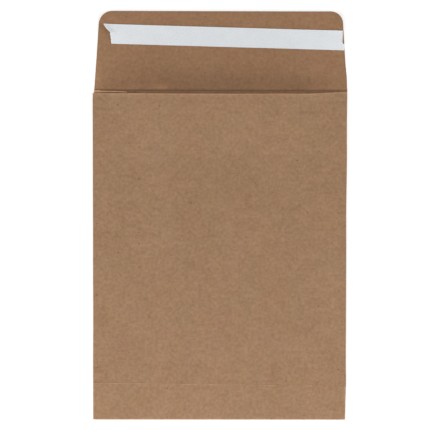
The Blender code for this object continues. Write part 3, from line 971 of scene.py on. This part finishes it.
def card_fibre_group():
    """Kraft card's fibres. Cloudy formation, a fine mottle and short streaks in four directions scale the ground
    colour up and down, two slow noises shift its hue a little, and scattered bark flecks darken it. The same fibres
    raise the surface."""
    tree, given, result = new_group(
        "card_fibres",
        {"Blank": "NodeSocketVector", "Ground": "NodeSocketColor", "Fleck": "NodeSocketColor",
         "Strength": "NodeSocketFloat"},
        {"Color": "NodeSocketColor", "Roughness": "NodeSocketFloat", "Height": "NodeSocketFloat"},
    )
    place = given.outputs["Blank"]
    clouds, mottle, formation, tooth = (
        swing(tree, place, *settings) for settings in (CLOUDS, MOTTLE, FORMATION, TOOTH)
    )
    streaks = None
    for angle, length, width in STREAKS:
        drawn = noise(tree, turned(tree, place, angle, (length, width, 1.0)), 1.0, 1.0)
        streak = remap(tree, drawn, *STREAK_RANGE, 0.0, 1.0)
        streaks = streak if streaks is None else math_node(tree, "MAXIMUM", streaks, streak)
    total = weighted_sum(tree, (clouds, mottle, formation, tooth, streaks), FIBRE_WEIGHTS)
    total = math_node(tree, "MULTIPLY", total, given.outputs["Strength"])
    gain = combined(tree, "ADD", scaled(tree, FIBRE_TINT, total), (1.0, 1.0, 1.0))
    for tint, scale in HUE_SHIFTS:
        gain = combined(tree, "ADD", gain, scaled(tree, tint, swing(tree, place, scale, 3.0, 0.65)))
    tinted = combined(tree, "MULTIPLY", given.outputs["Ground"], gain)
    mixed = node(
        tree, "ShaderNodeMix", {0: fleck_share(tree, place), 6: tinted, 7: given.outputs["Fleck"]}, data_type="RGBA"
    )
    rough = math_node(tree, "ADD", math_node(tree, "MULTIPLY", tooth, CARD_ROUGHNESS[1]), CARD_ROUGHNESS[0])
    height = weighted_sum(tree, (formation, tooth, streaks), RELIEF_WEIGHTS)
    tree.links.new(mixed.outputs[2], result.inputs["Color"])
    tree.links.new(math_node(tree, "MINIMUM", rough, 1.0), result.inputs["Roughness"])
    tree.links.new(height, result.inputs["Height"])
    return tree


def principled(name):
    """A new material's tree, its Principled shader and nothing else but the output."""
    made = bpy.data.materials.new(name)
    made.use_nodes = True
    return made, made.node_tree, made.node_tree.nodes["Principled BSDF"]


def attribute(tree, name, output="Fac"):
    """A value carried by the piece's points."""
    return node(tree, "ShaderNodeAttribute", attribute_name=name).outputs[output]


def dress(tree, shader, colour, roughness, height, relief, specular):
    """Gives a Principled shader its colour, roughness, specular level, and a relief of a strength and a depth."""
    strength, depth = relief
    bump = node(tree, "ShaderNodeBump", {"Height": height, "Strength": strength, "Distance": depth})
    for socket, value in (("Base Color", colour), ("Roughness", roughness), ("Normal", bump.outputs["Normal"])):
        tree.links.new(value, shader.inputs[socket])
    shader.inputs["Specular IOR Level"].default_value = specular


def kraft(name, ground, shift, fibres, strength):
    """Kraft card's face: fibres on the blank's own coordinates, moved by a shift so that the faces differ. Cut edges
    are a little lighter, partly pale cut fibres and partly a painted highlight where they catch the light, and the
    sheet's own tones make folds darker, partly bruising and partly painted shade, and add painted shade and painted
    light in other places."""
    made, tree, shader = principled(name)
    place = node(tree, "ShaderNodeMapping", {"Vector": attribute(tree, "blank", "Vector"), "Location": shift})
    grain = node(tree, "ShaderNodeGroup", node_tree=fibres)
    tree.links.new(place.outputs["Vector"], grain.inputs["Blank"])
    grain.inputs["Ground"].default_value = linear(ground)
    grain.inputs["Fleck"].default_value = linear([level * FLECK_COLOUR for level in ground])
    grain.inputs["Strength"].default_value = strength
    # Cut edges lighter: partly pale cut fibres, partly a painted highlight
    edge_light = remap(tree, attribute(tree, "cut_distance"), 0.0, CUT_EDGE_LIGHT_REACH, CUT_EDGE_LIGHT, 0.0, True)
    # The sheet's tones: bruising, painted shade and painted light
    gain = math_node(tree, "ADD", math_node(tree, "ADD", edge_light, attribute(tree, "tone_and_painted_light")), 1.0)
    worn_and_painted_light = scaled(tree, grain.outputs["Color"], gain)
    dress(tree, shader, worn_and_painted_light, grain.outputs["Roughness"], grain.outputs["Height"], CARD_RELIEF, CARD_SPECULAR)
    return made


def liner_paper(name, ground):
    """Siliconised paper: nearly white, faintly cloudy and grained, satin, a little whiter where it is torn, and with
    a painted highlight along its cut edges."""
    made, tree, shader = principled(name)
    place = attribute(tree, "strip", "Vector")
    clouds = swing(tree, place, *LINER_CLOUDS)
    grain = swing(tree, place, *LINER_GRAIN)
    # Whiter fibres at the torn end, and a painted highlight along the cut edges
    fringe, edge = (
        remap(tree, attribute(tree, distance), 0.0, reach, lighter, 0.0, True)
        for distance, (reach, lighter) in (("torn_distance", TORN_FRINGE), ("edge_distance", LINER_EDGE_HIGHLIGHT))
    )
    gain = math_node(tree, "ADD", weighted_sum(tree, (clouds, grain, fringe, edge), LINER_WEIGHTS), 1.0)
    roughness = remap(tree, grain, -0.5, 0.5, *LINER_ROUGHNESS)
    dress(tree, shader, scaled(tree, linear(ground)[:3], gain), roughness, grain, LINER_RELIEF, LINER_SPECULAR)
    return made


def adhesive_film_finish(name, ground):
    """Dried hot-melt adhesive: pale, glossy and a little cloudy, ribbed along the strip by the nozzle."""
    made, tree, shader = principled(name)
    ribs = noise(tree, turned(tree, attribute(tree, "strip", "Vector"), 0, ADHESIVE_RIBS), 1.0, 2.0)
    gain = math_node(tree, "MULTIPLY_ADD", ribs, *ADHESIVE_GAIN)
    roughness = remap(tree, ribs, 0.0, 1.0, *ADHESIVE_ROUGHNESS)
    dress(tree, shader, scaled(tree, linear(ground)[:3], gain), roughness, ribs, ADHESIVE_RELIEF, ADHESIVE_SPECULAR)
    return made


def seen_directly(tree):
    """1 for what the camera sees, straight, in a gloss or through something clear, and 0 for light's own ways."""
    rays = node(tree, "ShaderNodeLightPath").outputs
    either = math_node(tree, "MAXIMUM", rays["Is Camera Ray"], rays["Is Glossy Ray"])
    return math_node(tree, "MAXIMUM", either, rays["Is Transmission Ray"])


def floor():
    """A white floor that shows the object's shadow, lifted to plain white for the camera where no shadow falls, and
    lifted fully beyond the lamps' reach so that it meets the backdrop unseen."""
    corner = FLOOR_SIZE / 2
    corners = np.array([(-corner, -corner, 0), (corner, -corner, 0), (corner, corner, 0), (-corner, corner, 0)])
    made = fill_mesh("floor", corners, np.array([[0, 1, 2, 3]]), {})
    finish = bpy.data.materials.new("floor_white")
    finish.use_nodes = True
    tree = finish.node_tree
    tree.nodes.clear()
    place = node(tree, "ShaderNodeTexCoord").outputs["Object"]
    reach = node(tree, "ShaderNodeVectorMath", {0: place}, operation="LENGTH").outputs["Value"]
    lift = remap(tree, reach, FLOOR_NEAR, FLOOR_FAR, FLOOR_LIFT, 1.0, True)
    diffuse = node(tree, "ShaderNodeBsdfDiffuse", {"Color": (FLOOR_WHITE, FLOOR_WHITE, FLOOR_WHITE, 1.0)})
    glow = node(tree, "ShaderNodeEmission", {"Strength": math_node(tree, "MULTIPLY", seen_directly(tree), lift)})
    both = node(tree, "ShaderNodeAddShader", {0: diffuse.outputs[0], 1: glow.outputs[0]})
    node(tree, "ShaderNodeOutputMaterial", {"Surface": both.outputs[0]})
    made.data.materials.append(finish)


def surroundings():
    """Even white light all round, and plain white where the camera sees past the floor."""
    world = bpy.data.worlds.new("studio")
    bpy.context.scene.world = world
    world.use_nodes = True
    tree = world.node_tree
    tree.nodes.clear()
    strength = remap(tree, seen_directly(tree), 0.0, 1.0, AMBIENT, 1.0)
    sky = node(tree, "ShaderNodeBackground", {"Color": (1.0, 1.0, 1.0, 1.0), "Strength": strength})
    node(tree, "ShaderNodeOutputWorld", {"Surface": sky.outputs[0]})


def lamp(name, bearing, elevation, power):
    """A square soft light that looks at the envelope's middle, from a bearing (0 is +Y, clockwise) and a height
    above the floor in degrees."""
    light = bpy.data.lights.new(name, "AREA")
    light.shape = "SQUARE"
    light.size = LAMP_SIZE
    light.energy = power
    made = bpy.data.objects.new(name, light)
    bpy.context.scene.collection.objects.link(made)
    turn, climb = math.radians(bearing), math.radians(elevation)
    level = LAMP_DISTANCE * math.cos(climb)
    made.location = (level * math.sin(turn), level * math.cos(turn), LAMP_DISTANCE * math.sin(climb))
    made.rotation_euler = (math.radians(90) - climb, 0.0, math.pi - turn)


def camera():
    """The camera over the envelope, turned and tilted by a degree or two as the photograph's was."""
    data = bpy.data.cameras.new("camera")
    data.lens = data.sensor_width * CAMERA_DISTANCE / FRAME_WIDTH
    made = bpy.data.objects.new("camera", data)
    bpy.context.scene.collection.objects.link(made)
    made.rotation_euler = (CAMERA_TILT, 0.0, CAMERA_ROLL)
    back = CAMERA_DISTANCE * math.sin(CAMERA_TILT)
    made.location = (
        CAMERA_AIM[0] + back * math.sin(CAMERA_ROLL),
        CAMERA_AIM[1] - back * math.cos(CAMERA_ROLL),
        CAMERA_DISTANCE * math.cos(CAMERA_TILT),
    )
    bpy.context.scene.camera = made


def build():
    """The sheet, then the strip and the liner on the flap's body, then the stage, light and camera."""
    fibres = card_fibre_group()
    outer = kraft("kraft_outer", OUTER_FACE, (0.0, 0.0, 0.0), fibres, 1.0)
    inner = kraft("kraft_inner", INNER_FACE, (0.7, 0.3, 0.0), fibres, 0.9)
    cut = kraft("kraft_cut_edge", CUT_FACE, (0.2, 0.9, 0.0), fibres, 1.2)
    sheet = card_sheet(outer, inner, cut)
    film = adhesive_strip(adhesive_film_finish("adhesive", ADHESIVE_COLOUR))
    liner = release_liner(liner_paper("liner_paper", LINER_COLOUR))
    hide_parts("envelope_body", "closing_flap")
    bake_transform(sheet)
    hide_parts("adhesive_strip")
    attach(film, "flap")
    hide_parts("release_liner")
    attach(liner, "flap")
    floor()
    surroundings()
    for name, bearing, elevation, power in LAMPS:
        lamp(name, bearing, elevation, power)
    camera()
    bpy.context.scene.view_settings.view_transform = "Standard"


build()
